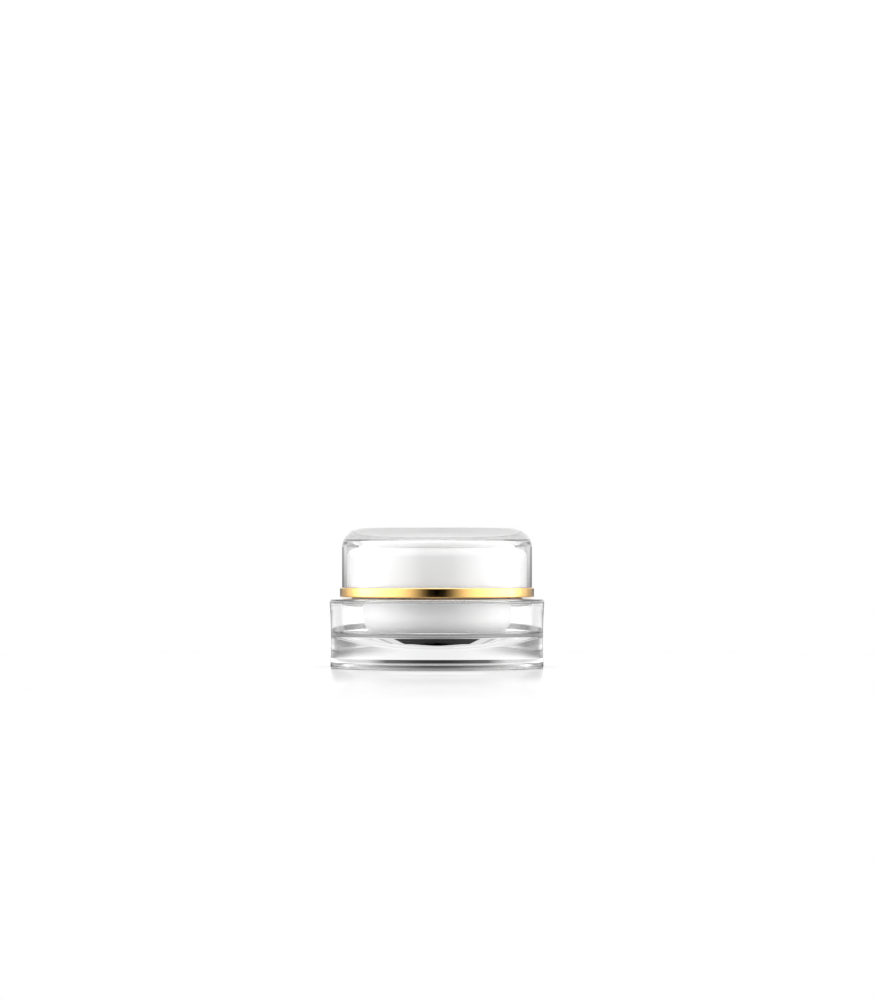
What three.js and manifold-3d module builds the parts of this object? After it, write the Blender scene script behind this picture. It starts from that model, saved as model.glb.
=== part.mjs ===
// A cosmetic cream jar with a double wall: a thick clear acrylic outer jar, a white cup hung inside it,
// and a screw lid of a clear shell over a white threaded cap, trimmed with a gold ring.
// Millimetres, +Z up. The origin is the centre of the foot, on the surface that the jar stands on.
import * as THREE from "three";
import { mergeVertices } from "three/addons/utils/BufferGeometryUtils.js";
import Module from "manifold-3d";

// Driving dimensions.
const SEGMENTS = 48; // facets round each turned piece
const ARC_STEP = Math.PI / 8; // most that an outline turns between two points of a round stretch
const SMALL_FILLET = 1; // up to here a corner's points may be twice as far apart
const SEAT_GAP = 0.3; // between two pieces that rest on or against each other

// Outer jar.
const JAR_DIAMETER = 66.2; // across the top rim
const JAR_HEIGHT = 21.2;
const JAR_WALL = 3.7; // round the hollow
const RIM_WIDTH = 2.9; // clear rim outside the cup's flange
const RIM_FILLET = 0.9;
const WAIST_HEIGHT = 8.5; // where the slightly hollow side is narrowest
const WAIST_INSET = 0.5; // how much narrower its radius is there than at the rim
const SIDE_STEPS = 5;
const FOOT_FILLET = 0.5;
const FOOT_WIDTH = 5.3; // ring that the jar stands on
const RECESS_DEPTH = 1.6;
const FLOOR_THICKNESS = 5.6; // from the surface to the middle of the bowl-shaped floor
const BOWL_DEPTH = 3.9; // from the ledge round the bowl to its middle
const BOWL_WIDTH = 12.5; // of the conical part of the bowl, in from the ledge
const BOWL_FILLET = 45;
const LEDGE_WIDTH = 6.4; // from the wall of the hollow to the bowl
const LEDGE_RISE = 0.25;
const LEDGE_FILLET = 3; // between the ledge and the bowl
const HOLLOW_FILLET = 1.8; // between the ledge and the wall

// Inner cup.
const NECK_WALL = 1.8;
const NECK_HEIGHT = 10.9; // above the shoulder
const CUP_INSET = 1.07; // how much narrower the cup is below its flange than the neck
const CUP_WALL = 1.3;
const CUP_FLOOR_GAP = 4.1; // air between the middle of the bowl and the cup
const CUP_FILLET = 5.5;
const CUP_CROWN = 1.5; // fall of the underside from its edge to its middle
const CUP_PAD_RADIUS = 9; // flat middle of the underside
const FLANGE_THICKNESS = 1;
const SHOULDER_RISE = 0.75; // shoulder above the jar's rim
const SHOULDER_WIDTH = 0.5; // shoulder outside the bore of the lid

// Thread, right-handed, shared by the neck and the lid.
const THREAD_STARTS = 3;
const THREAD_LEAD = 9; // rise in one turn
const THREAD_DEPTH = 1.3;
const THREAD_ROOT = 1.5; // width of a ridge where it leaves its wall
const THREAD_CREST = 0.7;
const THREAD_SWEEP = (5 * Math.PI) / 6; // angle that one ridge covers
const THREAD_FADE = 0.12; // share of the sweep over which each end rises
const THREAD_TIP = 0.15; // share of the depth left at the very end
const THREAD_CLEARANCE = 0.5; // between a ridge's crest and the opposite wall
const THREAD_START = 3; // height of a neck ridge's lower end above the shoulder
const THREAD_STEPS = 14;
const ROOTED = 0.3; // depth to which a ridge or tab is one with its wall

// Sealing disc and liner.
const DISC_FLANGE = 0.8;
const DISC_INSET = 0.1; // neck outside the disc's edge
const DISC_PLUG_WALL = 1;
const DISC_PLUG_CLEARANCE = 0.3;
const DISC_DISH = 2.2;
const DISC_PLATE = 0.9;
const TAB_WIDTH = 9;
const TAB_THICKNESS = 1.2;
const TAB_CORNER = 1.5;
const TAB_BELOW = 0.1; // top of the tab below the disc's edge
const LINER_THICKNESS = 1;
const LINER_GAP = 0.45; // between the disc and the liner
const LINER_CLEARANCE = 0.4; // between the liner and the bore

// Lid.
const LID_INSET = 3.3; // jar's rim outside the trim ring
const LID_GAP = 0.55; // between the jar's rim and the trim ring
const SKIRT_WALL = 1.8;
const CAP_TOP = 0.7; // inner cap over its bore, at the edge of the crown
const CAP_CROWN = 1.1;
const CROWN_STEPS = 5;
const CAP_FILLET = 2.6;
const SHELL_GAP = 0.45; // air round the inner cap
const SHELL_WALL = 1.1;
const CEILING_GAP = 1.7; // air over the inner cap
const CEILING_FILLET = 0.8;
const PAD_INSET = 3.6; // inner cap outside the bonding pad
const SHELL_TOP = 3.8;
const SHELL_FILLET = 5.8;
const RING_HEIGHT = 2.9;
const RING_PROUD = 0.65; // ring outside the shell
const RING_WALL = 0.65;
const RING_LIP = 0.4; // thickness of the lip under the shell
const RING_LAP = 0.6; // reach of the lip under the inner cap
const EDGE = 0.2; // small rounding of moulded edges

// Radii and heights that follow from them.
const jarRadius = JAR_DIAMETER / 2;
const hollowRadius = jarRadius - JAR_WALL;
const seatRadius = jarRadius - RIM_WIDTH;
const ringRadius = jarRadius - LID_INSET;
const ringInner = ringRadius - RING_WALL;
const shellRadius = ringRadius - RING_PROUD;
const shellInner = shellRadius - SHELL_WALL;
const capRadius = shellInner - SHELL_GAP;
const boreRadius = capRadius - SKIRT_WALL;
const shoulderRadius = boreRadius + SHOULDER_WIDTH;
const neckRadius = boreRadius - THREAD_CLEARANCE - THREAD_DEPTH;
const mouthRadius = neckRadius - NECK_WALL;
const cupRadius = neckRadius - CUP_INSET;

const cupUnderside = FLOOR_THICKNESS + CUP_FLOOR_GAP;
const shoulderTop = JAR_HEIGHT + SHOULDER_RISE;
const mouthTop = shoulderTop + NECK_HEIGHT;
const discUnder = mouthTop + SEAT_GAP;
const discTop = discUnder + DISC_FLANGE;
const linerUnder = discTop + LINER_GAP;
const linerTop = linerUnder + LINER_THICKNESS;
const capUnder = linerTop + SEAT_GAP;
const capTop = capUnder + CAP_TOP + CAP_CROWN;
const ceiling = capTop + CEILING_GAP;
const lidTop = ceiling + SHELL_TOP;
const ringBottom = JAR_HEIGHT + LID_GAP;
const ringTop = ringBottom + RING_HEIGHT;
const skirtBottom = ringBottom + RING_LIP + SEAT_GAP;
const threadPitch = THREAD_LEAD / THREAD_STARTS;
const neckThreadStart = shoulderTop + THREAD_START;

const wasm = await Module();
wasm.setup();

// An outline of [radius, height] corners, each rounded where it has a third number, its fillet.
function outline(corners) {
  const points = [];
  corners.forEach(([radius, height, fillet = 0], i) => {
    const corner = new THREE.Vector2(radius, height);
    if (!fillet) {
      points.push(corner);
      return;
    }
    const back = new THREE.Vector2(...corners[i - 1]).sub(corner).normalize();
    const ahead = new THREE.Vector2(...corners[i + 1]).sub(corner).normalize();
    const half = Math.acos(back.dot(ahead)) / 2;
    const middle = back.clone().add(ahead).normalize();
    const centre = corner.clone().addScaledVector(middle, fillet / Math.sin(half));
    const from = corner.clone().addScaledVector(back, fillet / Math.tan(half)).sub(centre);
    const turn = (Math.PI - 2 * half) * Math.sign(back.cross(ahead)) * -1;
    const widest = fillet > SMALL_FILLET ? ARC_STEP : 2 * ARC_STEP;
    const steps = Math.ceil(Math.abs(turn) / widest);
    for (let step = 0; step <= steps; step++) {
      const spoke = from.clone().rotateAround(new THREE.Vector2(), (turn * step) / steps);
      points.push(spoke.add(centre));
    }
  });
  return points;
}

// A piece turned about Z from an outline that runs anticlockwise, with the radius to the right.
function turned(points) {
  return new THREE.LatheGeometry(points, SEGMENTS).rotateX(Math.PI / 2);
}

// A closed geometry as a solid that can be joined and cut.
function solidOf(geometry) {
  const bare = geometry.clone();
  bare.deleteAttribute("normal");
  bare.deleteAttribute("uv");
  const merged = mergeVertices(bare, 1e-4);
  const mesh = new wasm.Mesh({
    numProp: 3,
    vertProperties: merged.attributes.position.array,
    triVerts: new Uint32Array(merged.index.array),
  });
  return new wasm.Manifold(mesh);
}

// The first geometry joined with the others.
function joined(first, ...others) {
  const whole = others.reduce((sum, other) => sum.add(solidOf(other)), solidOf(first));
  const mesh = whole.getMesh();
  return new THREE.BufferGeometry()
    .setAttribute("position", new THREE.BufferAttribute(mesh.vertProperties, 3))
    .setIndex(new THREE.BufferAttribute(mesh.triVerts, 1));
}

// One ridge of the thread, from its root on a wall to its crest, with ends that rise from the wall.
function ridge(root, crest, start, height) {
  const geometry = new THREE.BoxGeometry(1, 1, 1, THREAD_STEPS, 1, 1);
  const place = geometry.attributes.position;
  for (let i = 0; i < place.count; i++) {
    const along = 0.5 - place.getX(i);
    const outer = place.getY(i) > 0;
    const isCrest = outer === crest > root;
    const rise = Math.min(1, THREAD_TIP + Math.min(along, 1 - along) / THREAD_FADE);
    const turn = THREAD_SWEEP * along;
    const embedded = root - Math.sign(crest - root) * ROOTED;
    const radius = isCrest ? root + (crest - root) * rise : embedded;
    const width = isCrest ? THREAD_CREST : THREAD_ROOT;
    const z = height + (THREAD_LEAD * turn) / (2 * Math.PI) + place.getZ(i) * width;
    place.setXYZ(i, radius * Math.cos(start + turn), radius * Math.sin(start + turn), z);
  }
  return geometry;
}

// Every start of one thread, evenly spaced round its wall.
function thread(root, crest, height) {
  const starts = [];
  for (let i = 0; i < THREAD_STARTS; i++) {
    starts.push(ridge(root, crest, (2 * Math.PI * i) / THREAD_STARTS, height));
  }
  return starts;
}

// Radius of the outer jar's side at a height: a shallow parabola about the waist.
function sideRadius(height) {
  const share = (height - WAIST_HEIGHT) / (JAR_HEIGHT - WAIST_HEIGHT);
  return jarRadius - WAIST_INSET * (1 - share * share);
}

// Solid clear base with a hollow for the cup, a rebate for its flange and a recess under the foot.
function outerJar() {
  const side = [];
  for (let step = 1; step < SIDE_STEPS; step++) {
    const height = (JAR_HEIGHT * step) / SIDE_STEPS;
    side.push([sideRadius(height), height]);
  }
  const recessRadius = sideRadius(0) - FOOT_WIDTH;
  const seat = JAR_HEIGHT - FLANGE_THICKNESS - SEAT_GAP;
  const bowlRadius = hollowRadius - LEDGE_WIDTH;
  const ledge = FLOOR_THICKNESS + BOWL_DEPTH;
  return turned(
    outline([
      [0, RECESS_DEPTH],
      [recessRadius, RECESS_DEPTH, EDGE],
      [recessRadius, 0, EDGE],
      [sideRadius(0), 0, FOOT_FILLET],
      ...side,
      [jarRadius, JAR_HEIGHT, RIM_FILLET],
      [seatRadius, JAR_HEIGHT, EDGE],
      [seatRadius, seat],
      [hollowRadius, seat],
      [hollowRadius, ledge + LEDGE_RISE, HOLLOW_FILLET],
      [bowlRadius, ledge, LEDGE_FILLET],
      [bowlRadius - BOWL_WIDTH, FLOOR_THICKNESS, BOWL_FILLET],
      [0, FLOOR_THICKNESS],
    ]),
  );
}

// White cup with a flange that drops into the jar's rim, a shoulder and a threaded neck.
function innerCup() {
  const flangeRadius = seatRadius - SEAT_GAP;
  const flangeUnder = JAR_HEIGHT - FLANGE_THICKNESS;
  const body = turned(
    outline([
      [0, cupUnderside],
      [CUP_PAD_RADIUS, cupUnderside],
      [cupRadius, cupUnderside + CUP_CROWN, CUP_FILLET],
      [cupRadius, flangeUnder],
      [flangeRadius, flangeUnder],
      [flangeRadius, JAR_HEIGHT, EDGE],
      [shoulderRadius, JAR_HEIGHT],
      [shoulderRadius, shoulderTop, EDGE],
      [neckRadius, shoulderTop],
      [neckRadius, mouthTop, EDGE],
      [mouthRadius, mouthTop, EDGE],
      [cupRadius - CUP_WALL, cupUnderside + CUP_WALL + CUP_CROWN, CUP_FILLET - CUP_WALL],
      [CUP_PAD_RADIUS, cupUnderside + CUP_WALL],
      [0, cupUnderside + CUP_WALL],
    ]),
  );
  return joined(body, ...thread(neckRadius, neckRadius + THREAD_DEPTH, neckThreadStart));
}

// Loose white disc that plugs the mouth, dished, with a finger tab standing in the dish.
function sealingDisc() {
  const discRadius = neckRadius - DISC_INSET;
  const plugRadius = mouthRadius - DISC_PLUG_CLEARANCE;
  const dishRadius = plugRadius - DISC_PLUG_WALL;
  const dishFloor = discTop - DISC_DISH;
  const body = turned(
    outline([
      [0, dishFloor - DISC_PLATE],
      [plugRadius, dishFloor - DISC_PLATE, 2 * EDGE],
      [plugRadius, discUnder],
      [discRadius, discUnder],
      [discRadius, discTop, EDGE],
      [dishRadius, discTop, EDGE],
      [dishRadius, dishFloor, EDGE],
      [0, dishFloor],
    ]),
  );
  const tabHeight = DISC_DISH - TAB_BELOW + ROOTED;
  const cornerX = TAB_WIDTH / 2 - TAB_CORNER;
  const tab = new THREE.Shape()
    .moveTo(-TAB_WIDTH / 2, 0)
    .lineTo(TAB_WIDTH / 2, 0)
    .absarc(cornerX, tabHeight - TAB_CORNER, TAB_CORNER, 0, Math.PI / 2)
    .absarc(-cornerX, tabHeight - TAB_CORNER, TAB_CORNER, Math.PI / 2, Math.PI);
  const plate = new THREE.ExtrudeGeometry(tab, {
    depth: TAB_THICKNESS,
    bevelEnabled: false,
    curveSegments: 4,
  });
  plate.rotateX(Math.PI / 2).translate(0, TAB_THICKNESS / 2, dishFloor - ROOTED);
  return joined(body, plate);
}

// Foam disc held in the top of the inner cap.
function lidLiner() {
  const radius = boreRadius - LINER_CLEARANCE;
  return turned(
    outline([
      [0, linerUnder],
      [radius, linerUnder, EDGE],
      [radius, linerTop, EDGE],
      [0, linerTop],
    ]),
  );
}

// White threaded cap with a crowned top; its skirt stops above the ring's lip.
function innerCap() {
  const crown = [];
  for (let step = CROWN_STEPS - 1; step >= 0; step--) {
    const share = step / CROWN_STEPS;
    crown.push([capRadius * share, capTop - CAP_CROWN * share ** 3]);
  }
  const body = turned(
    outline([
      [0, capUnder],
      [boreRadius, capUnder, EDGE],
      [boreRadius, skirtBottom, EDGE],
      [capRadius, skirtBottom, EDGE],
      [capRadius, capTop - CAP_CROWN, CAP_FILLET],
      ...crown,
    ]),
  );
  const height = neckThreadStart - threadPitch / 2;
  return joined(body, ...thread(boreRadius, boreRadius - THREAD_DEPTH, height));
}

// Clear shell over the inner cap, rebated at the foot for the ring.
function outerCap() {
  const rebateRadius = ringInner - SEAT_GAP;
  const rebateTop = ringTop + SEAT_GAP;
  return turned(
    outline([
      [0, ceiling],
      [shellInner, ceiling, CEILING_FILLET],
      [shellInner, skirtBottom],
      [rebateRadius, skirtBottom],
      [rebateRadius, rebateTop],
      [shellRadius, rebateTop],
      [shellRadius, lidTop, SHELL_FILLET],
      [0, lidTop],
    ]),
  );
}

// Gold ring round the foot of the shell, with a lip that turns in under the shell and the inner cap.
function trimRing() {
  const lipRadius = capRadius - RING_LAP;
  return turned(
    outline([
      [lipRadius, ringBottom],
      [ringRadius, ringBottom, EDGE],
      [ringRadius, ringTop, EDGE],
      [ringInner, ringTop],
      [ringInner, ringBottom + RING_LIP],
      [lipRadius, ringBottom + RING_LIP],
      [lipRadius, ringBottom],
    ]),
  );
}

// White adhesive pad that bonds the inner cap to the ceiling of the shell.
function bondPad() {
  const radius = capRadius - PAD_INSET;
  return turned(
    outline([
      [0, capTop + SEAT_GAP],
      [radius, capTop + SEAT_GAP, EDGE],
      [radius, ceiling - SEAT_GAP, EDGE],
      [0, ceiling - SEAT_GAP],
    ]),
  );
}

const acrylic = { color: 0xf4f8fa, roughness: 0.03, metalness: 0, transparent: true, opacity: 0.35 };
const white = { color: 0xf2f2f0, roughness: 0.35, metalness: 0 };
const foam = { color: 0xe9e8e4, roughness: 0.9, metalness: 0 };
const gold = { color: 0xe2b566, roughness: 0.12, metalness: 1 };

const jar = new THREE.Group();
const pieces = [
  ["outer_jar", outerJar(), acrylic],
  ["inner_cup", innerCup(), white],
  ["sealing_disc", sealingDisc(), white],
  ["lid_liner", lidLiner(), foam],
  ["inner_cap", innerCap(), white],
  ["bond_pad", bondPad(), foam],
  ["outer_cap", outerCap(), acrylic],
  ["trim_ring", trimRing(), gold],
];
for (const [name, geometry, finish] of pieces) {
  const mesh = new THREE.Mesh(geometry, new THREE.MeshStandardMaterial(finish));
  mesh.name = name;
  jar.add(mesh);
}

export default jar;
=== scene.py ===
"""A cosmetic cream jar with a double wall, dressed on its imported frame."""
import math

import bpy
import numpy as np
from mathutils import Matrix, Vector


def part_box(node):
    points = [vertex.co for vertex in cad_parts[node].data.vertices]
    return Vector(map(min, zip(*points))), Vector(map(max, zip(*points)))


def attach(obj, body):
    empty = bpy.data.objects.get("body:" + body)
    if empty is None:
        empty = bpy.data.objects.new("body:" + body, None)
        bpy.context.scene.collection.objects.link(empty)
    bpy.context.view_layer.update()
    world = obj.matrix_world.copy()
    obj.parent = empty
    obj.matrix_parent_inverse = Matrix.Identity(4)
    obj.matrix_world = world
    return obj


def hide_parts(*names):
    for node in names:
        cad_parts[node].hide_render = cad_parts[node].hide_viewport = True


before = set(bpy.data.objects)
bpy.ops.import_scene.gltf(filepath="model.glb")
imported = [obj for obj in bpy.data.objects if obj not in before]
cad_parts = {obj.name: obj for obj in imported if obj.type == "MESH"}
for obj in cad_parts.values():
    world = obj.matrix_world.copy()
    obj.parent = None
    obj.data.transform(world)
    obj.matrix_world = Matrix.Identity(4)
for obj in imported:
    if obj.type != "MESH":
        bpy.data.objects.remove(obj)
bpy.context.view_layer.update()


# ---- Stage: camera, tent and table ---------------------------------------------------------------
# A long lens stands a little over a metre off, level, at three quarters of the jar's height. A narrow
# white table with a polished top lies under the jar, inside a white tent with a slit for the lens.
MM = 0.001
CAMERA_DISTANCE = 1.290
CAMERA_HEIGHT = 0.0328
VIEW_HEIGHT = 0.3074  # what the long side of the view covers at the jar
VIEW_CENTRE = 0.0516  # height at the middle of the view
SENSOR = 36.0

camera_data = bpy.data.cameras.new("product_camera")
camera_data.sensor_width = SENSOR
camera_data.lens = SENSOR * CAMERA_DISTANCE / VIEW_HEIGHT
camera_data.shift_y = (VIEW_CENTRE - CAMERA_HEIGHT) / VIEW_HEIGHT
camera = bpy.data.objects.new("product_camera", camera_data)
camera.location = (0, -CAMERA_DISTANCE, CAMERA_HEIGHT)
camera.rotation_euler = (math.pi / 2, 0, 0)
bpy.context.scene.collection.objects.link(camera)
bpy.context.scene.camera = camera
bpy.context.scene.view_settings.view_transform = "Standard"


def node(tree, kind, inputs=None, **settings):
    """A new shader node with its settings and its inputs, each a value or another node's socket."""
    made = tree.nodes.new(kind)
    for name, value in settings.items():
        setattr(made, name, value)
    for name, value in (inputs or {}).items():
        if isinstance(value, bpy.types.NodeSocket):
            tree.links.new(value, made.inputs[name])
        else:
            made.inputs[name].default_value = value
    return made


def maths(tree, operation, *values):
    """The result of a Math node."""
    return node(tree, "ShaderNodeMath", dict(enumerate(values)), operation=operation).outputs[0]


def ramp(tree, factor, stops):
    """Grey levels between 0 and 1 at places between 0 and 1, with straight lines between them."""
    made = node(tree, "ShaderNodeValToRGB", {0: factor})
    levels = made.color_ramp
    for place, level in stops[1:-1]:
        levels.elements.new(place).color = (level, level, level, 1)
    for element, (place, level) in zip((levels.elements[0], levels.elements[-1]), (stops[0], stops[-1])):
        element.position = place
        element.color = (level, level, level, 1)
    return made.outputs["Color"]


# Brightness by the angle round from the lens, in degrees: of the tent's wall, of what lies below the
# table's edge, and of the tent's roof. Two dark slots run along the foot of the wall behind the jar.
TENT_PEAK = 4.2
WALL_ROUND = [(0, 0), (9, 0), (16, 0.14), (23, 0.5), (30, 0.95), (38, 1.45), (53, 2.1), (69, 2.9), (84, 3.7),
              (100, 4.1), (112, 2.4), (124, 1.4), (140, 0.9), (160, 1.1), (180, 1.1)]
BELOW_ROUND = [(0, 0), (10, 0.1), (40, 1.2), (70, 1.8), (100, 1.0), (113, 0.24), (132, 0.24), (137, 0.3),
               (142, 0.48), (145, 0.9), (149, 1.3), (156, 1.6), (163, 1.4), (168, 1.0), (173, 0.5),
               (180, 0.3)]
ROOF_ROUND = [(0, 2.9), (50, 2.5), (100, 1.7), (140, 0.9), (180, 0.75)]
BASE_LEVEL = 1.0  # straight down
WALL_TOP = (9.0, 24.0)  # elevations between which the wall turns into the roof
WALL_FOOT = (-0.56, -0.5)  # between which it ends
WALL_BASE = (-30.0, -12.0)  # and between which the base fades out
HIGH_SLOT = (0.6, 0.75, 1.5, 1.8)
HIGH_SLOT_ENDS = [(0, 0), (105, 0), (115, 0.45), (151, 0.45), (161, 0.96), (180, 0.96)]
LOW_SLOT = (-0.5, -0.45, 0.4, 0.5)
LOW_SLOT_ENDS = [(0, 0), (150, 0), (164, 0.65), (180, 0.75)]
# Grazing reflections see the back of the tent darker below SHEEN_TOP, which draws the outlines. White
# surfaces outside the acrylic are lit by BARE_SHARE of the tent, so that they don't burn out.
SHEEN_TOP = (-0.45, 0.2)
SHEEN_BACK = [(0, 0), (130, 0), (150, 0.55), (180, 0.55)]
BARE_SHARE = 0.4

world = bpy.data.worlds.new("tent")
bpy.context.scene.world = world
world.use_nodes = True
tent = world.node_tree
tent.nodes.clear()
way = node(tent, "ShaderNodeSeparateXYZ", {0: node(tent, "ShaderNodeTexCoord").outputs["Generated"]})
sideways = maths(tent, "ABSOLUTE", way.outputs["X"])
towards = maths(tent, "MULTIPLY", way.outputs["Y"], -1.0)
around = maths(tent, "DIVIDE", maths(tent, "ARCTAN2", sideways, towards), math.pi)
above = maths(tent, "DEGREES", maths(tent, "ARCSINE", way.outputs["Z"]))


def tent_level(stops, peak=TENT_PEAK):
    """Brightness round the tent as a share of its peak."""
    return ramp(tent, around, [(angle / 180, level / peak) for angle, level in stops])


def passed(span):
    """0 below a span of elevation, 1 above it."""
    return node(tent, "ShaderNodeMapRange", {0: above, 1: span[0], 2: span[1]}).outputs[0]


def blended(low, high, share):
    """low where share is 0, high where it is 1."""
    return node(tent, "ShaderNodeMix", {0: share, 2: low, 3: high}).outputs[0]


def slot_dark(span, ends):
    """1 outside a slot; inside its span of elevation, less by its share of darkness at this angle round."""
    inside = maths(tent, "SUBTRACT", passed(span[:2]), passed(span[2:]))
    return maths(tent, "SUBTRACT", 1.0, maths(tent, "MULTIPLY", inside, tent_level(ends, 1)))


below = blended(BASE_LEVEL / TENT_PEAK, tent_level(BELOW_ROUND), passed(WALL_BASE))
lower = blended(below, tent_level(WALL_ROUND), passed(WALL_FOOT))
whole = blended(lower, tent_level(ROOF_ROUND), passed(WALL_TOP))
through = node(tent, "ShaderNodeLightPath").outputs["Is Transmission Ray"]
high_slot = blended(1.0, slot_dark(HIGH_SLOT, HIGH_SLOT_ENDS), through)
slots = maths(tent, "MULTIPLY", high_slot, slot_dark(LOW_SLOT, LOW_SLOT_ENDS))
shiny = node(tent, "ShaderNodeLightPath").outputs["Is Glossy Ray"]
low_down = maths(tent, "SUBTRACT", 1.0, passed(SHEEN_TOP))
sheen_dark = maths(tent, "MULTIPLY", tent_level(SHEEN_BACK, 1), low_down)
sheen = maths(tent, "SUBTRACT", 1.0, maths(tent, "MULTIPLY", sheen_dark, shiny))
bare = blended(1.0, BARE_SHARE, node(tent, "ShaderNodeLightPath").outputs["Is Diffuse Ray"])
by_ray = maths(tent, "MULTIPLY", maths(tent, "MULTIPLY", slots, sheen), bare)
level = maths(tent, "MULTIPLY", maths(tent, "MULTIPLY", whole, by_ray), TENT_PEAK)
seen = node(tent, "ShaderNodeLightPath").outputs["Is Camera Ray"]
shown = maths(tent, "MAXIMUM", level, seen)
glow = node(tent, "ShaderNodeBackground", {"Color": (1, 1, 1, 1), "Strength": shown})
node(tent, "ShaderNodeOutputWorld", {"Surface": glow.outputs[0]})

TABLE_HALF_WIDTH, TABLE_FRONT, TABLE_BACK = 0.25, -0.55, 0.45
table_mesh = bpy.data.meshes.new("table_top")
table_mesh.from_pydata([
    (-TABLE_HALF_WIDTH, TABLE_FRONT, 0),
    (TABLE_HALF_WIDTH, TABLE_FRONT, 0),
    (TABLE_HALF_WIDTH, TABLE_BACK, 0),
    (-TABLE_HALF_WIDTH, TABLE_BACK, 0),
], [], [(0, 1, 2, 3)])
table = bpy.data.objects.new("table_top", table_mesh)
bpy.context.scene.collection.objects.link(table)

TABLE_GLOSS = 0.55  # share of the shine beside the jar
TABLE_FADE = 0.36  # distance over which it is lost
TABLE_WHITE = 0.8
TABLE_PLAIN = (0.1, 0.32)  # distances between which the top goes plain white
table_material_with_painted_shade = bpy.data.materials.new("polished_white_table_with_painted_shade")
table_material_with_painted_shade.use_nodes = True
top = table_material_with_painted_shade.node_tree
top.nodes.clear()
spot = node(top, "ShaderNodeTexCoord").outputs["Object"]
across = node(top, "ShaderNodeSeparateXYZ", {0: spot})
beside = maths(top, "ABSOLUTE", across.outputs["X"])
away = node(top, "ShaderNodeVectorMath", {0: spot}, operation="LENGTH").outputs["Value"]
gloss = node(top, "ShaderNodeMapRange", {0: away, 1: 0.03, 2: TABLE_FADE, 3: TABLE_GLOSS, 4: 0.0}).outputs[0]
body = node(top, "ShaderNodeBsdfDiffuse", {"Color": (TABLE_WHITE, TABLE_WHITE, TABLE_WHITE, 1)})
shine = node(top, "ShaderNodeBsdfAnisotropic", {"Color": (1, 1, 1, 1), "Roughness": 0.05})
polished = node(top, "ShaderNodeMixShader", {0: gloss, 1: body.outputs[0], 2: shine.outputs[0]})
flooded = node(top, "ShaderNodeMapRange", {0: away, 1: TABLE_PLAIN[0], 2: TABLE_PLAIN[1]}).outputs[0]
flood = node(top, "ShaderNodeEmission", {"Color": (1, 1, 1, 1), "Strength": 1.02})
mixed = node(top, "ShaderNodeMixShader", {0: flooded, 1: polished.outputs[0], 2: flood.outputs[0]})
# Seen in the jar or in its reflections, the table glows with painted shade and painted light: dark under
# the foot, by the distance from the axis, and lighter round it, by the angle from straight behind in
# degrees. In front the painted light rises up to SHADE_PEAK, and behind, the table ends a jar's width off
# to each side.
SHADE_RADIUS = 0.036
UNDER_SHADE = [(0, 0.05), (0.25, 0.08), (0.45, 0.15), (0.65, 0.3), (0.85, 0.35), (1, 0.4)]
ROUND_SHADE = [(0, 0.95), (8, 0.92), (14, 0.74), (17, 0.58), (21, 0.4), (27, 0.2), (38, 0.14), (85, 0.14),
               (100, 2.0), (125, 2.0), (155, 1.0), (180, 0.6)]
SHADE_PEAK = 2.0
turned_off = maths(top, "DIVIDE", maths(top, "ARCTAN2", beside, across.outputs["Y"]), math.pi)
round_shade = ramp(top, turned_off, [(angle / 180, level / SHADE_PEAK) for angle, level in ROUND_SHADE])
beyond = maths(top, "MULTIPLY", round_shade, SHADE_PEAK)
under_shade = ramp(top, maths(top, "DIVIDE", away, SHADE_RADIUS), UNDER_SHADE)
under = maths(top, "LESS_THAN", away, SHADE_RADIUS)
shade = node(top, "ShaderNodeMix", {0: under, 2: beyond, 3: under_shade}).outputs[0]
# Painted shadow and painted light: an emission whose strength is the shade level above.
painted_jar_shade = node(top, "ShaderNodeEmission", {"Color": (1, 1, 1, 1), "Strength": shade})
off_side = maths(top, "GREATER_THAN", beside, 2 * SHADE_RADIUS)
behind = node(top, "ShaderNodeMapRange", {0: across.outputs["Y"], 1: 0.0, 2: SHADE_RADIUS}).outputs[0]
past = maths(top, "MULTIPLY", off_side, behind)
shadowed = node(top, "ShaderNodeMixShader", {
    0: past,
    1: painted_jar_shade.outputs[0],
    2: node(top, "ShaderNodeBsdfTransparent").outputs[0],
})
light_path = node(top, "ShaderNodeLightPath").outputs
in_jar = maths(top, "MAXIMUM", light_path["Is Transmission Ray"], light_path["Is Glossy Ray"])
# Rays through the jar or off its surface see the painted shade; all other rays see the table's own surface.
table_or_painted_shade = node(top, "ShaderNodeMixShader", {0: in_jar, 1: mixed.outputs[0], 2: shadowed.outputs[0]})
node(top, "ShaderNodeOutputMaterial", {"Surface": table_or_painted_shade.outputs[0]})
table_mesh.materials.append(table_material_with_painted_shade)


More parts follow.
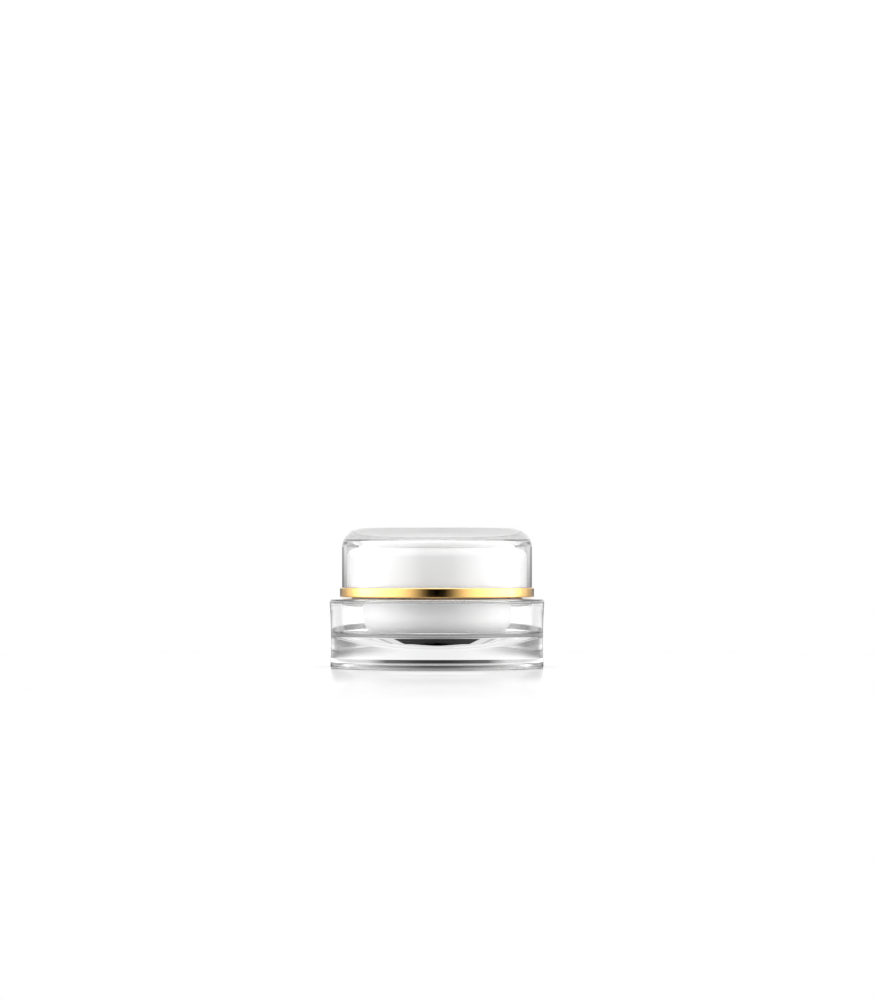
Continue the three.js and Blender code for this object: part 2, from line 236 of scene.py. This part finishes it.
# ---- Outer jar -----------------------------------------------------------------------------------
# Injection-moulded clear acrylic with a polished skin, thick in the floor. The hollow for the cup has
# a bowl-shaped floor, the rim is rebated for the cup's flange, and the foot is a ring round a recess.
def outline(corners, step=math.radians(6), snug=0.04):
    """Points along (radius, height, fillet) corners in millimetres: each fillet is an arc tangent to both
    sides, and the straight stretch on either side has a point close to the arc, so that it shades flat."""
    points = []
    for i, corner in enumerate(corners):
        place = np.array(corner[:2], float)
        fillet = corner[2] if len(corner) > 2 else 0
        if not fillet:
            points.append(place)
            continue
        back = np.array(corners[i - 1][:2], float) - place
        ahead = np.array(corners[(i + 1) % len(corners)][:2], float) - place
        back_length, ahead_length = np.hypot(*back), np.hypot(*ahead)
        back, ahead = back / back_length, ahead / ahead_length
        half = math.acos(np.clip(back @ ahead, -1, 1)) / 2
        middle = (back + ahead) / np.hypot(*(back + ahead))
        centre = place + middle * fillet / math.sin(half)
        reach = fillet / math.tan(half)
        spoke = place + back * reach - centre
        turn = (2 * half - math.pi) * np.sign(back[0] * ahead[1] - back[1] * ahead[0])
        turns = np.linspace(0, turn, max(3, math.ceil(abs(turn) / step) + 1))
        arc_x = centre[0] + spoke[0] * np.cos(turns) - spoke[1] * np.sin(turns)
        arc_y = centre[1] + spoke[0] * np.sin(turns) + spoke[1] * np.cos(turns)
        if back_length > reach + 3 * snug:
            points.append(place + back * (reach + snug))
        points.extend(np.stack([arc_x, arc_y], 1))
        if ahead_length > reach + 3 * snug:
            points.append(place + ahead * (reach + snug))
    return np.array(points)


def mesh_object(name, vertices, faces):
    """A smooth mesh object from an array of vertices in metres and a list of arrays of faces."""
    mesh = bpy.data.meshes.new(name)
    mesh.from_pydata(vertices.tolist(), [], [f for block in faces for f in block.tolist()])
    mesh.polygons.foreach_set("use_smooth", np.ones(len(mesh.polygons), bool))
    mesh.update()
    made = bpy.data.objects.new(name, mesh)
    bpy.context.scene.collection.objects.link(made)
    return made


def turned(name, points, columns=256, swell=None, closed=False):
    """A piece turned about Z. Each outline point (r, h) sweeps the circle (r cos a, r sin a, h), and
    swell(r, h, a) may add to the radius. A point on the axis is one pole vertex. The outline runs
    anticlockwise."""
    angle = np.linspace(0, 2 * math.pi, columns, endpoint=False)
    ring_points = points if closed else points[1:-1]
    radius = np.repeat(ring_points[:, :1], columns, 1)
    height = np.repeat(ring_points[:, 1:], columns, 1)
    if swell:
        radius = radius + swell(radius, height, angle[None, :])
    grid = np.stack([radius * np.cos(angle), radius * np.sin(angle), height], 2)
    rings = len(ring_points)
    index = np.arange(rings * columns).reshape(rings, columns)
    nxt = np.roll(index, -1, 1)
    lower, upper = (index, np.roll(index, -1, 0)) if closed else (index[:-1], index[1:])
    lower_next, upper_next = (nxt, np.roll(nxt, -1, 0)) if closed else (nxt[:-1], nxt[1:])
    faces = [np.stack([lower, lower_next, upper_next, upper], 2).reshape(-1, 4)]
    vertices = grid.reshape(-1, 3)
    if not closed:
        ends = np.array([[0, 0, points[0][1]], [0, 0, points[-1][1]]])
        first, last = len(vertices), len(vertices) + 1
        vertices = np.concatenate([vertices, ends])
        faces.append(np.stack([np.full(columns, first), nxt[0], index[0]], 1))
        faces.append(np.stack([np.full(columns, last), index[-1], nxt[-1]], 1))
    return mesh_object(name, vertices * MM, faces)


def size(cad_node):
    """Radius, underside and top of a turned CAD node, in millimetres."""
    low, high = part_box(cad_node)
    return high.x / MM, low.z / MM, high.z / MM


JAR_RADIUS, _, JAR_HEIGHT = size("outer_jar")
JAR_WALL = 3.7
RIM_WIDTH = 2.9
WAIST_HEIGHT, WAIST_INSET = 8.5, 0.5
FOOT_WIDTH, RECESS_DEPTH = 5.3, 1.6
FLOOR_THICKNESS = 5.6
BOWL_DEPTH, BOWL_WIDTH = 3.9, 12.5
LEDGE_WIDTH, LEDGE_RISE = 6.4, 0.25
SEAT_DEPTH = 1.02
hollow_radius = JAR_RADIUS - JAR_WALL
seat_radius = JAR_RADIUS - RIM_WIDTH
bowl_radius = hollow_radius - LEDGE_WIDTH
ledge = FLOOR_THICKNESS + BOWL_DEPTH


def side_radius(height):
    """Radius of the jar's side: a shallow parabola about its waist."""
    share = (height - WAIST_HEIGHT) / (JAR_HEIGHT - WAIST_HEIGHT)
    return JAR_RADIUS - WAIST_INSET * (1 - share * share)


side = [(side_radius(h), h) for h in np.linspace(1.2, 19.6, 24)]
foot_inner = side_radius(0) - FOOT_WIDTH
outer_jar = turned("outer_jar_clear", outline([
    (0, RECESS_DEPTH),
    (foot_inner, RECESS_DEPTH, 0.3),
    (foot_inner, 0, 0.25),
    (side_radius(0), 0, 0.5),
    *side,
    (JAR_RADIUS - 0.02, JAR_HEIGHT, 0.9),
    (seat_radius, JAR_HEIGHT, 0.15),
    (seat_radius, JAR_HEIGHT - SEAT_DEPTH, 0.08),
    (hollow_radius, JAR_HEIGHT - SEAT_DEPTH, 0.15),
    (hollow_radius, ledge + LEDGE_RISE, 1.8),
    (bowl_radius, ledge, 3),
    (bowl_radius - BOWL_WIDTH, FLOOR_THICKNESS, 45),
    (0, FLOOR_THICKNESS),
]))

acrylic = bpy.data.materials.new("polished_clear_acrylic")
acrylic.use_nodes = True
clear = acrylic.node_tree
place = node(clear, "ShaderNodeTexCoord").outputs["Object"]
skin = clear.nodes["Principled BSDF"]
skin.inputs["Base Color"].default_value = (1, 1, 1, 1)
skin.inputs["Transmission Weight"].default_value = 1.0
skin.inputs["IOR"].default_value = 1.49
flow = node(clear, "ShaderNodeTexNoise", {"Vector": place, "Scale": 90.0, "Detail": 2.0})
haze = node(clear, "ShaderNodeMapRange", {0: flow.outputs["Fac"], 1: 0.35, 2: 0.75, 3: 0.0, 4: 0.012})
clear.links.new(haze.outputs[0], skin.inputs["Roughness"])
outer_jar.data.materials.append(acrylic)
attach(outer_jar, "jar")
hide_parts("outer_jar")


# ---- Inner cup -----------------------------------------------------------------------------------
# White polypropylene, moulded in one piece: the cup that holds the cream, the flange that drops into
# the jar's rim, the shoulder under the lid, and the neck with its three-start thread.
FLANGE_RADIUS, CUP_UNDERSIDE, MOUTH_TOP = size("inner_cup")
FLANGE_FIT = 0.24  # closer to the jar's rim than the solid's
FLANGE_THICKNESS = 0.96
CUP_WALL, CUP_CROWN, CUP_PAD = 1.3, 1.5, 9.0
SHOULDER_RISE, SHOULDER_INSET = 0.75, 6.8
NECK_INSET, NECK_WALL, CUP_INSET = 9.1, 1.8, 1.07
THREAD_STARTS, THREAD_LEAD, THREAD_DEPTH = 3, 9.0, 1.3
THREAD_ROOT, THREAD_CREST, THREAD_SWEEP, THREAD_FADE = 1.5, 0.7, 5 * math.pi / 6, 0.12
THREAD_RISE, THREAD_STEP = 3.0, 0.14  # of its first line over the shoulder, and between points
SHOULDER_TOP = JAR_HEIGHT + SHOULDER_RISE
SHOULDER_RADIUS = JAR_RADIUS - SHOULDER_INSET
NECK_RADIUS = JAR_RADIUS - NECK_INSET
MOUTH_RADIUS = NECK_RADIUS - NECK_WALL
CUP_RADIUS = NECK_RADIUS - CUP_INSET
THREAD_LOW = SHOULDER_TOP + THREAD_RISE


def ridges(height, angle, low):
    """How far a thread's ridges stand out of their wall, from 0 to 1. Each start is a helix that climbs
    THREAD_LEAD in a turn from its own place round the wall; the height above its line gives a trapezium
    with smooth shoulders, and the share of its sweep gives the rise at both ends."""
    risen = np.zeros(np.broadcast(height, angle).shape)
    for start in range(THREAD_STARTS):
        turn = np.mod(angle - 2 * math.pi * start / THREAD_STARTS, 2 * math.pi)
        share = turn / THREAD_SWEEP
        off = np.abs(height - low - THREAD_LEAD * turn / (2 * math.pi))
        across = np.clip((THREAD_ROOT / 2 - off) / ((THREAD_ROOT - THREAD_CREST) / 2), 0, 1)
        ends = np.clip(np.minimum(share, 1 - share) / THREAD_FADE, 0, 1)
        rise = across * across * (3 - 2 * across) * ends * ends * (3 - 2 * ends)
        risen = np.maximum(risen, rise)
    return risen


def neck_swell(radius, height, angle):
    """The neck's ridges, outward, on the outer wall of the neck only."""
    on_wall = (np.abs(radius - NECK_RADIUS) < 0.01) & (height > SHOULDER_TOP + 0.3)
    return np.where(on_wall, THREAD_DEPTH * ridges(height, angle, THREAD_LOW), 0)


neck_wall = [(NECK_RADIUS, h) for h in np.arange(SHOULDER_TOP + 0.6, MOUTH_TOP - 0.6, THREAD_STEP)]
inner_cup = turned("inner_cup_white", outline([
    (0, CUP_UNDERSIDE),
    (CUP_PAD, CUP_UNDERSIDE, 12),
    (CUP_RADIUS, CUP_UNDERSIDE + CUP_CROWN, 5.5),
    (CUP_RADIUS, JAR_HEIGHT - FLANGE_THICKNESS, 0.2),
    (FLANGE_RADIUS + FLANGE_FIT, JAR_HEIGHT - FLANGE_THICKNESS, 0.1),
    (FLANGE_RADIUS + FLANGE_FIT, JAR_HEIGHT, 0.15),
    (SHOULDER_RADIUS, JAR_HEIGHT, 0.1),
    (SHOULDER_RADIUS, SHOULDER_TOP, 0.2),
    (NECK_RADIUS, SHOULDER_TOP, 0.2),
    *neck_wall,
    (NECK_RADIUS, MOUTH_TOP, 0.3),
    (MOUTH_RADIUS, MOUTH_TOP, 0.4),
    (CUP_RADIUS - CUP_WALL, CUP_UNDERSIDE + CUP_WALL + CUP_CROWN, 4.2),
    (CUP_PAD, CUP_UNDERSIDE + CUP_WALL, 12),
    (0, CUP_UNDERSIDE + CUP_WALL),
]), columns=360, swell=neck_swell)


def moulded_white(name, color, roughness, grain):
    """Opaque white moulding: cloudy colour, and a fine grain in its gloss and its surface."""
    made = bpy.data.materials.new(name)
    made.use_nodes = True
    tree = made.node_tree
    surface = tree.nodes["Principled BSDF"]
    where = node(tree, "ShaderNodeTexCoord").outputs["Object"]
    cloud = node(tree, "ShaderNodeTexNoise", {"Vector": where, "Scale": 55.0, "Detail": 3.0})
    tint = node(tree, "ShaderNodeMix", {0: cloud.outputs["Fac"]}, data_type="RGBA")
    tint.inputs[6].default_value = (*[c * 0.975 for c in color], 1)
    tint.inputs[7].default_value = (*color, 1)
    tree.links.new(tint.outputs[2], surface.inputs["Base Color"])
    speck = node(tree, "ShaderNodeTexNoise", {"Vector": where, "Scale": 2600.0, "Detail": 2.0})
    speckle = speck.outputs["Fac"]
    gloss = node(tree, "ShaderNodeMapRange", {0: speckle, 3: roughness - 0.05, 4: roughness + 0.05})
    tree.links.new(gloss.outputs[0], surface.inputs["Roughness"])
    bump = node(tree, "ShaderNodeBump", {"Height": speckle, "Strength": grain, "Distance": 0.0001})
    tree.links.new(bump.outputs[0], surface.inputs["Normal"])
    surface.inputs["IOR"].default_value = 1.49
    return made


cup_white = moulded_white("white_polypropylene", (0.94, 0.94, 0.938), 0.30, 0.15)
inner_cup.data.materials.append(cup_white)
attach(inner_cup, "jar")
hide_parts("inner_cup")


# ---- Sealing disc --------------------------------------------------------------------------------
# A loose white disc that plugs the mouth and keeps the cream off the lid. It is dished, with a finger
# tab moulded across the dish.
DISC_RADIUS, _, DISC_TOP = size("sealing_disc")
DISC_RIM, PLUG_FIT, PLUG_WALL = 0.8, 0.3, 1.0
DISH_DEPTH, DISC_PLATE = 2.2, 0.9
DIMPLE_RADIUS, DIMPLE_FOOT, DIMPLE_DEPTH = 2.0, 1.6, 0.25
DISC_UNDER = DISC_TOP - DISC_RIM
PLUG_RADIUS = MOUTH_RADIUS - PLUG_FIT
DISH_RADIUS = PLUG_RADIUS - PLUG_WALL
DISH_FLOOR = DISC_TOP - DISH_DEPTH
TAB_HALF_WIDTH, TAB_THICKNESS, TAB_ROOT, TAB_DROP = 4.5, 1.2, 0.15, 0.1
sealing_disc = turned("sealing_disc_white", outline([
    (0, DISH_FLOOR - DISC_PLATE),
    (PLUG_RADIUS, DISH_FLOOR - DISC_PLATE, 0.4),
    (PLUG_RADIUS, DISC_UNDER, 0.15),
    (DISC_RADIUS, DISC_UNDER, 0.15),
    (DISC_RADIUS, DISC_TOP, 0.25),
    (DISH_RADIUS, DISC_TOP, 0.25),
    (DISH_RADIUS, DISH_FLOOR, 0.5),
    (DIMPLE_RADIUS, DISH_FLOOR, 0.2),
    (DIMPLE_FOOT, DISH_FLOOR - DIMPLE_DEPTH, 0.2),
    (0, DISH_FLOOR - DIMPLE_DEPTH),
]), columns=192)


def upright_tab(name, half_width, low, high, thickness, columns=96, rows=9):
    """A tab that stands across the dish, its face in the plane Y = 0. Point (u, v): u runs round a rounded
    oblong, x = w sign(cos u) |cos u|^p and z likewise with the sine; v turns the edge from the front face
    over a quarter circle on each side to the back face, and the oblong shrinks by that circle's versine."""
    power, edge = 0.44, 0.35
    middle, half_height = (low + high) / 2, (high - low) / 2
    u = np.linspace(0, 2 * math.pi, columns, endpoint=False)
    v = np.linspace(-math.pi / 2, math.pi / 2, rows)[:, None]
    x = half_width * np.sign(np.cos(u)) * np.abs(np.cos(u)) ** power
    z = half_height * np.sign(np.sin(u)) * np.abs(np.sin(u)) ** power
    shrink = edge * (1 - np.cos(v))
    depth = np.sin(v) * edge + np.sign(v) * (thickness / 2 - edge)
    grid = np.stack([
        x * (1 - shrink / half_width),
        np.repeat(depth, columns, 1),
        middle + z * (1 - shrink / half_height),
    ], 2).reshape(-1, 3)
    index = np.arange(rows * columns).reshape(rows, columns)
    nxt = np.roll(index, -1, 1)
    walls = np.stack([index[:-1], index[1:], nxt[1:], nxt[:-1]], 2).reshape(-1, 4)
    centres = np.array([[0, -thickness / 2, middle], [0, thickness / 2, middle]])
    first = rows * columns
    front = np.stack([np.full(columns, first), index[0], nxt[0]], 1)
    back = np.stack([np.full(columns, first + 1), nxt[-1], index[-1]], 1)
    return mesh_object(name, np.concatenate([grid, centres]) * MM, [walls, front, back])


tab_low, tab_high = DISH_FLOOR - TAB_ROOT, DISC_TOP - TAB_DROP
finger_tab = upright_tab("finger_tab_white", TAB_HALF_WIDTH, tab_low, tab_high, TAB_THICKNESS)
disc_white = moulded_white("natural_polyethylene", (0.92, 0.92, 0.90), 0.42, 0.25)
for piece in (sealing_disc, finger_tab):
    piece.data.materials.append(disc_white)
    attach(piece, "sealing_disc")
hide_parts("sealing_disc")


# ---- Lid liner -----------------------------------------------------------------------------------
# A die-cut disc of white closed-cell foam, held in the top of the inner cap above the threads.
LINER_RADIUS, LINER_LOW, LINER_HIGH = size("lid_liner")
lid_liner = turned("lid_liner_foam", outline([
    (0, LINER_LOW),
    (LINER_RADIUS, LINER_LOW, 0.25),
    (LINER_RADIUS, LINER_HIGH, 0.15),
    (0, LINER_HIGH),
]), columns=192)


def press_cells(material, scale, depth):
    """Presses foam cells into a material's surface: a pit in the middle of each Voronoi cell."""
    tree = material.node_tree
    normal = tree.nodes["Principled BSDF"].inputs["Normal"]
    grain = normal.links[0].from_socket
    where = node(tree, "ShaderNodeTexCoord").outputs["Object"]
    cell = node(tree, "ShaderNodeTexVoronoi", {"Vector": where, "Scale": scale}).outputs["Distance"]
    pits = node(tree, "ShaderNodeBump", {"Height": cell, "Strength": depth, "Distance": 0.0002})
    tree.links.new(grain, pits.inputs["Normal"])
    tree.links.new(pits.outputs[0], normal)


FOAM_CELLS = 1500.0  # to the metre
foam = moulded_white("closed_cell_foam", (0.88, 0.88, 0.86), 0.75, 0.5)
press_cells(foam, FOAM_CELLS, 0.6)
lid_liner.data.materials.append(foam)
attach(lid_liner, "lid_liner")
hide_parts("lid_liner")


# ---- Inner cap -----------------------------------------------------------------------------------
# White polypropylene cap with a slightly crowned top. Its thread is inside the skirt, and it shows
# through the clear shell.
CAP_RADIUS, SKIRT_BOTTOM, CAP_TOP = size("inner_cap")
SKIRT_WALL, CAP_CROWN, CAP_PLATE = 1.8, 1.1, 0.7
BORE_RADIUS = CAP_RADIUS - SKIRT_WALL
CAP_UNDER = CAP_TOP - CAP_CROWN - CAP_PLATE
CAP_THREAD_LOW = THREAD_LOW - THREAD_LEAD / THREAD_STARTS / 2


def bore_swell(radius, height, angle):
    """The cap's ridges, inward, on the bore only."""
    on_wall = (np.abs(radius - BORE_RADIUS) < 0.01) & (height < CAP_UNDER - 0.3)
    return np.where(on_wall, -THREAD_DEPTH * ridges(height, angle, CAP_THREAD_LOW), 0)


def crown_height(radius):
    """Height of the cap's top, which falls away as the cube of the distance from the axis."""
    return CAP_TOP - CAP_CROWN * (radius / CAP_RADIUS) ** 3


crown = [(r, crown_height(r)) for r in np.linspace(0.88 * CAP_RADIUS, 0, 16)]
bore_wall = [(BORE_RADIUS, h) for h in np.arange(CAP_UNDER - 0.6, SKIRT_BOTTOM + 0.4, -THREAD_STEP)]
inner_cap = turned("inner_cap_white", outline([
    (0, CAP_UNDER),
    (BORE_RADIUS, CAP_UNDER, 0.3),
    *bore_wall,
    (BORE_RADIUS, SKIRT_BOTTOM, 0.2),
    (CAP_RADIUS, SKIRT_BOTTOM, 0.2),
    (CAP_RADIUS, CAP_TOP - CAP_CROWN, 2.6),
    *crown,
]), columns=360, swell=bore_swell)
inner_cap.data.materials.append(cup_white)
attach(inner_cap, "lid")
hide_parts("inner_cap")


# ---- Bonding pad ---------------------------------------------------------------------------------
# A die-cut pad of white adhesive foam between the crown of the inner cap and the ceiling of the clear
# shell. It wets the ceiling, so it shows white through the thick top.
PAD_RADIUS, _, _ = size("bond_pad")
PAD_GAP, PAD_PRESS = 0.03, 0.01  # over the crown, and into the ceiling
TOP_SHADE_DEPTH, TOP_SHADE_TONE = 0.1, 0.71  # depth and tone of the pad's top face, darkened as painted shade, against the foam's colour
TOP_THICKNESS = 3.8  # of the clear shell
ceiling = size("outer_cap")[2] - TOP_THICKNESS
pad_under = [(r, crown_height(r) + PAD_GAP) for r in np.linspace(0, PAD_RADIUS, 16)]
bond_pad = turned("bond_pad_adhesive", outline([
    *pad_under,
    (PAD_RADIUS, ceiling + PAD_PRESS, 0.05),
    (0, ceiling + PAD_PRESS),
]), columns=192)
adhesive = moulded_white("white_adhesive_foam", (0.93, 0.93, 0.925), 0.6, 0.3)
press_cells(adhesive, FOAM_CELLS, 0.12)
glue = adhesive.node_tree
glue_color = glue.nodes["Principled BSDF"].inputs["Base Color"]
up = node(glue, "ShaderNodeSeparateXYZ", {0: node(glue, "ShaderNodeTexCoord").outputs["Object"]})
# Painted shade: the pad's face against the ceiling is made darker, which greys the lid's top.
painted_top_shade = node(glue, "ShaderNodeMapRange", {
    0: up.outputs["Z"],
    1: (ceiling - TOP_SHADE_DEPTH) * MM,
    2: ceiling * MM,
    3: 1.0,
    4: TOP_SHADE_TONE,
}).outputs[0]
foam_color = glue_color.links[0].from_socket
toned = node(glue, "ShaderNodeVectorMath", {0: foam_color, "Scale": painted_top_shade}, operation="SCALE")
glue.links.new(toned.outputs[0], glue_color)
bond_pad.data.materials.append(adhesive)
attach(bond_pad, "lid")
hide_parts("bond_pad")


# ---- Outer cap -----------------------------------------------------------------------------------
# Clear acrylic shell of the lid, thick over the top, with a large round on its edge. Its foot is
# rebated for the trim ring.
SHELL_RADIUS, SHELL_FOOT, LID_TOP = size("outer_cap")
SHELL_WALL, REBATE_DEPTH, RING_GAP = 1.1, 0.25, 0.03
SHELL_INNER = SHELL_RADIUS - SHELL_WALL
REBATE_RADIUS = SHELL_RADIUS - REBATE_DEPTH
RING_RADIUS, RING_BOTTOM, RING_TOP = size("trim_ring")
outer_cap = turned("outer_cap_clear", outline([
    (0, ceiling),
    (SHELL_INNER, ceiling, 0.8),
    (SHELL_INNER, SHELL_FOOT, 0.1),
    (REBATE_RADIUS, SHELL_FOOT, 0.1),
    (REBATE_RADIUS, RING_TOP + RING_GAP, 0.05),
    (SHELL_RADIUS, RING_TOP + RING_GAP, 0.05),
    (SHELL_RADIUS, LID_TOP, 5.8),
    (0, LID_TOP),
], step=math.radians(3)))
outer_cap.data.materials.append(acrylic)
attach(outer_cap, "lid")
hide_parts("outer_cap")


# ---- Trim ring -----------------------------------------------------------------------------------
# A thin gold-coloured ring, plated and polished, snapped round the foot of the shell. Its lip turns in
# under the shell.
RING_FIT, RING_LIP_WIDTH, RING_LIP = 0.05, 2.8, 0.4
RING_INNER = REBATE_RADIUS + RING_FIT
RING_LIP_RADIUS = RING_RADIUS - RING_LIP_WIDTH
trim_ring = turned("trim_ring_gold", outline([
    (RING_LIP_RADIUS, RING_BOTTOM, 0.08),
    (RING_RADIUS, RING_BOTTOM, 0.22),
    (RING_RADIUS, RING_TOP, 0.22),
    (RING_INNER, RING_TOP, 0.05),
    (RING_INNER, RING_BOTTOM + RING_LIP, 0.05),
    (RING_LIP_RADIUS, RING_BOTTOM + RING_LIP, 0.08),
]), columns=360, closed=True)
gold = bpy.data.materials.new("polished_gold_plate")
gold.use_nodes = True
plate = gold.node_tree
metal = plate.nodes["Principled BSDF"]
metal.inputs["Metallic"].default_value = 1.0
where = node(plate, "ShaderNodeTexCoord").outputs["Object"]
tone = node(plate, "ShaderNodeTexNoise", {"Vector": where, "Scale": 120.0, "Detail": 3.0})
tint = node(plate, "ShaderNodeMix", {0: tone.outputs["Fac"]}, data_type="RGBA")
tint.inputs[6].default_value = (0.90, 0.54, 0.17, 1)
tint.inputs[7].default_value = (0.94, 0.59, 0.23, 1)
plate.links.new(tint.outputs[2], metal.inputs["Base Color"])
height = node(plate, "ShaderNodeSeparateXYZ", {0: where}).outputs["Z"]
buffed = node(plate, "ShaderNodeTexNoise", {"W": height, "Scale": 9000.0}, noise_dimensions="1D")
wipe = node(plate, "ShaderNodeMapRange", {0: buffed.outputs["Fac"], 1: 0.3, 2: 0.7, 3: 0.015, 4: 0.07})
plate.links.new(wipe.outputs[0], metal.inputs["Roughness"])
trim_ring.data.materials.append(gold)
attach(trim_ring, "lid")
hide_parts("trim_ring")
